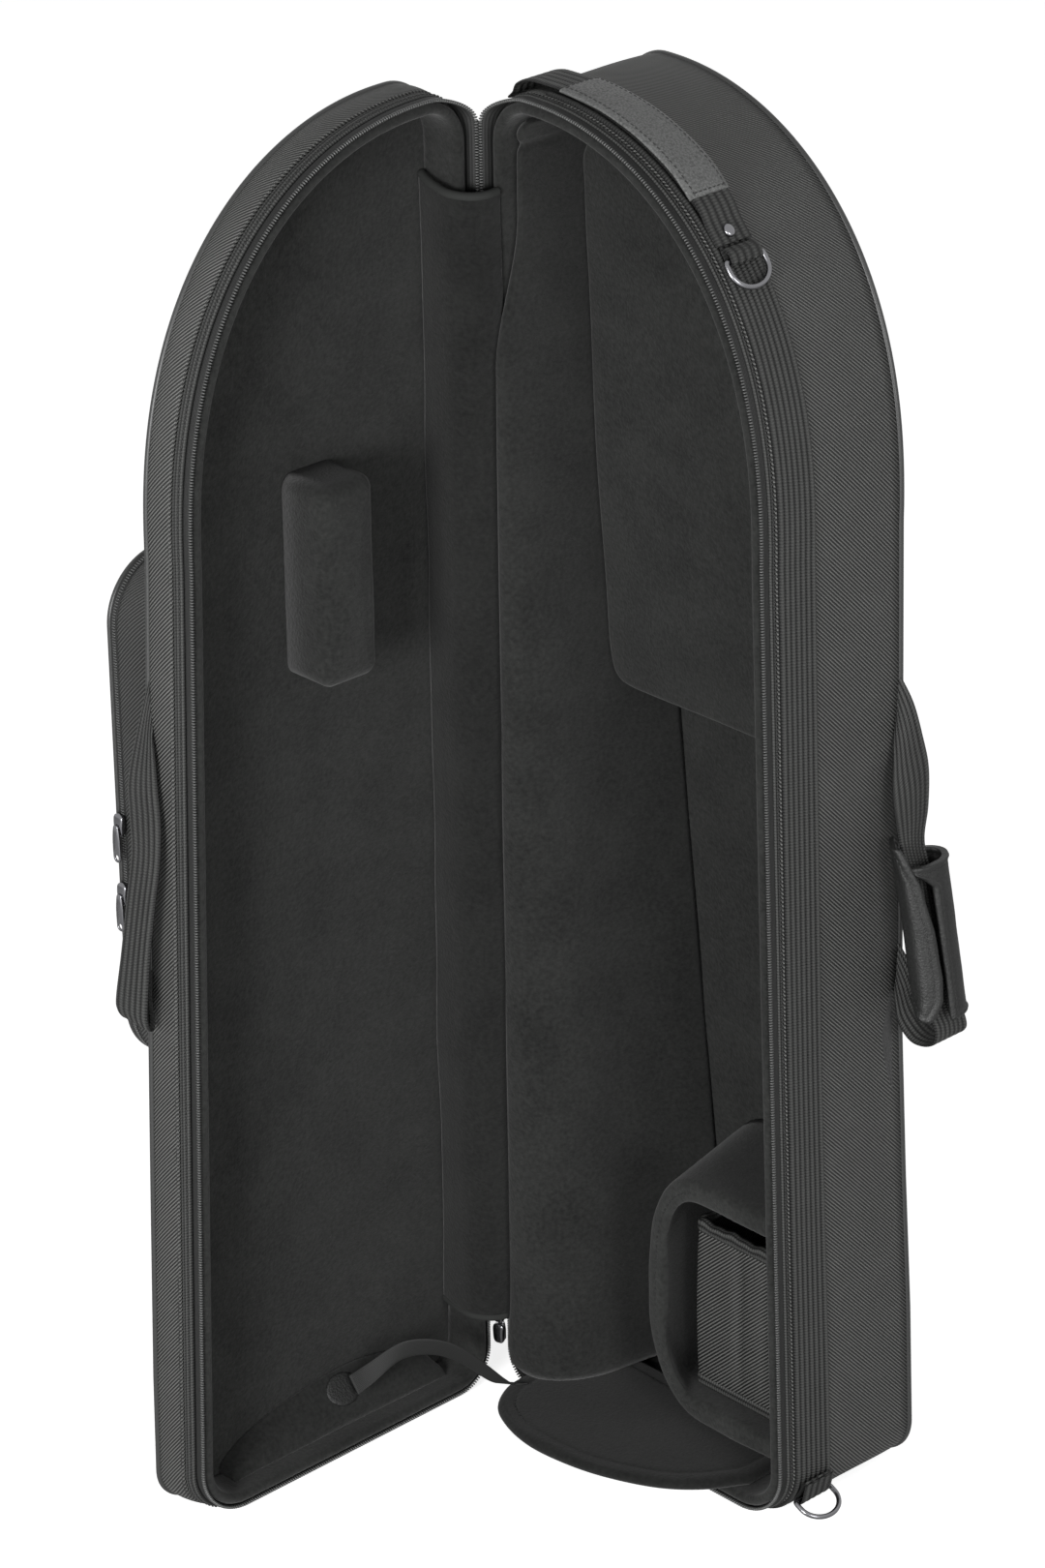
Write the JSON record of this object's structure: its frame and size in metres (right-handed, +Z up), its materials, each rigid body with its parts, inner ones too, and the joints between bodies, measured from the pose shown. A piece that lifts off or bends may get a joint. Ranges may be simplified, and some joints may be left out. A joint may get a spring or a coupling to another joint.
{
  "type": "trombone case",
  "caption": "Tall soft instrument case with a domed top and flat foot, standing open on a fabric hinge, with a padded inside, webbing handles, pouch and outer pocket.",
  "frame": {"origin": "on the floor, under the middle of the open case's bounding box", "axes": "+Z up the standing case, +X along the width of the deep half from its hinge, +Y down into the depth of the deep half"},
  "size_m": [0.405, 0.433, 0.9637],
  "materials": {
    "twill": "heavy nylon twill",
    "velour": "short-pile velour over foam",
    "webbing": "ribbed woven webbing",
    "leather": "pebbled, soft sheen",
    "cord": "smooth woven tape and piping",
    "dark_metal": "dark nickel plate, glossy",
    "zip_coil": "moulded coil"
  },
  "bodies": {
    "base": {"base_gusset": "twill", "base_panel": "twill", "base_piping": "cord", "base_zip_tape": "cord", "base_zip_teeth": "zip_coil", "base_zip_facing": "twill", "base_webbing_band": "webbing", "base_wall_lining": "velour", "base_panel_lining": "velour", "slide_partition": "velour", "bell_pad": "velour", "accessory_collar": "velour", "top_handle_webbing": "webbing", "top_handle_sleeve": "leather", "handle_rivet": "dark_metal", "top_ring_tab": "webbing", "foot_ring_tab": "webbing", "lower_main_slider": "dark_metal", "upper_main_slider": "dark_metal", "spine_lining": "velour", "spine_strip": "twill"},
    "lid": {"lid_gusset": "twill", "lid_panel": "twill", "lid_piping": "cord", "lid_zip_tape": "cord", "lid_zip_teeth": "zip_coil", "lid_zip_facing": "twill", "lid_wall_lining": "velour", "lid_panel_lining": "velour", "lid_block": "velour", "lid_floor_pad": "velour", "ribbon_patch": "leather", "pull_ribbon": "cord", "pocket_gusset": "twill", "pocket_zip": "cord"},
    "end_flap": {"end_flap": "velour"},
    "pouch": {"pouch_body": "twill", "pouch_foot_binding": "twill", "pouch_top_binding": "twill"},
    "top_ring": {"top_d_ring": "dark_metal"},
    "foot_ring": {"foot_d_ring": "dark_metal"},
    "base_handle": {"base_handle": "webbing", "grip_wrap": "leather"},
    "grip_flap": {"grip_flap": "leather"},
    "lower_main_pull": {"lower_main_pull": "dark_metal"},
    "upper_main_pull": {"upper_main_pull": "dark_metal"},
    "lid_handle": {"lid_handle": "webbing"},
    "pocket_panel": {"pocket_panel": "twill", "pocket_piping": "cord"},
    "upper_pocket_slider": {"upper_pocket_slider": "dark_metal"},
    "lower_pocket_slider": {"lower_pocket_slider": "dark_metal"},
    "upper_pocket_pull": {"upper_pocket_pull": "dark_metal"},
    "lower_pocket_pull": {"lower_pocket_pull": "dark_metal"}
  },
  "joints": [
    {"name": "lid_hinge", "type": "hinge", "parent": "base", "child": "lid", "pos_m": [-0.11064, 0.07438, 0.4], "axis": [0, 0, 1], "range_deg": [-60, 90], "deforming": ["spine_lining", "spine_strip", "pull_ribbon"]},
    {"name": "flap_slide", "type": "slide", "parent": "base", "child": "end_flap", "axis": [0, 1, 0], "range_m": [-0.033, 0.0485]},
    {"name": "pouch_slide", "type": "slide", "parent": "base", "child": "pouch", "axis": [0, -1, 0], "range_m": [0, 0.055]},
    {"name": "top_ring_hinge", "type": "hinge", "parent": "base", "child": "top_ring", "pos_m": [0.09376, 0.10438, 0.87896], "axis": [0, -1, 0], "range_deg": [0, 120]},
    {"name": "foot_ring_hinge", "type": "hinge", "parent": "base", "child": "foot_ring", "pos_m": [0.16287, 0.10438, 0.0169], "axis": [0, -1, 0], "range_deg": [0, 70]},
    {"name": "base_handle_hinge", "type": "hinge", "parent": "base", "child": "base_handle", "pos_m": [0.15356, 0.20438, 0.331], "axis": [-0.0354, 0, 0.9994], "range_deg": [0, 70]},
    {"name": "grip_flap_hinge", "type": "hinge", "parent": "base_handle", "child": "grip_flap", "pos_m": [0.17706, 0.18785, 0.35], "axis": [0.1902, 0, -0.9817], "range_deg": [0, 40]},
    {"name": "lower_main_pull_hinge", "type": "hinge", "parent": "base", "child": "lower_main_pull", "pos_m": [-0.1113, 0.07684, 0.045], "axis": [0.9659, 0.2588, 0], "range_deg": [0, 60]},
    {"name": "upper_main_pull_hinge", "type": "hinge", "parent": "base", "child": "upper_main_pull", "pos_m": [-0.1113, 0.07684, 0.0616], "axis": [0.9659, 0.2588, 0], "range_deg": [0, 60]},
    {"name": "lid_handle_hinge", "type": "hinge", "parent": "lid", "child": "lid_handle", "pos_m": [-0.15614, -0.18837, 0.372], "axis": [0, 0.0354, 0.9994], "range_deg": [-35, 0]},
    {"name": "pocket_hinge", "type": "hinge", "parent": "lid", "child": "pocket_panel", "pos_m": [-0.19724, 0.01938, 0.308], "axis": [0, 0, 1], "range_deg": [-75, 0]},
    {"name": "upper_pocket_slide", "type": "slide", "parent": "lid", "child": "upper_pocket_slider", "axis": [0, 0, 1], "range_m": [0, 0.125]},
    {"name": "lower_pocket_slide", "type": "slide", "parent": "lid", "child": "lower_pocket_slider", "axis": [0, 0, 1], "range_m": [-0.075, 0]},
    {"name": "upper_pocket_pull_hinge", "type": "hinge", "parent": "upper_pocket_slider", "child": "upper_pocket_pull", "pos_m": [-0.19424, -0.17772, 0.49], "axis": [-1, 0, 0], "range_deg": [0, 60]},
    {"name": "lower_pocket_pull_hinge", "type": "hinge", "parent": "lower_pocket_slider", "child": "lower_pocket_pull", "pos_m": [-0.19424, -0.17772, 0.44], "axis": [-1, 0, 0], "range_deg": [0, 60]}
  ],
  "couplings": [
    {"joint": "flap_slide", "follows": "lid_hinge", "m_per_rad": 0.0305}
  ]
}
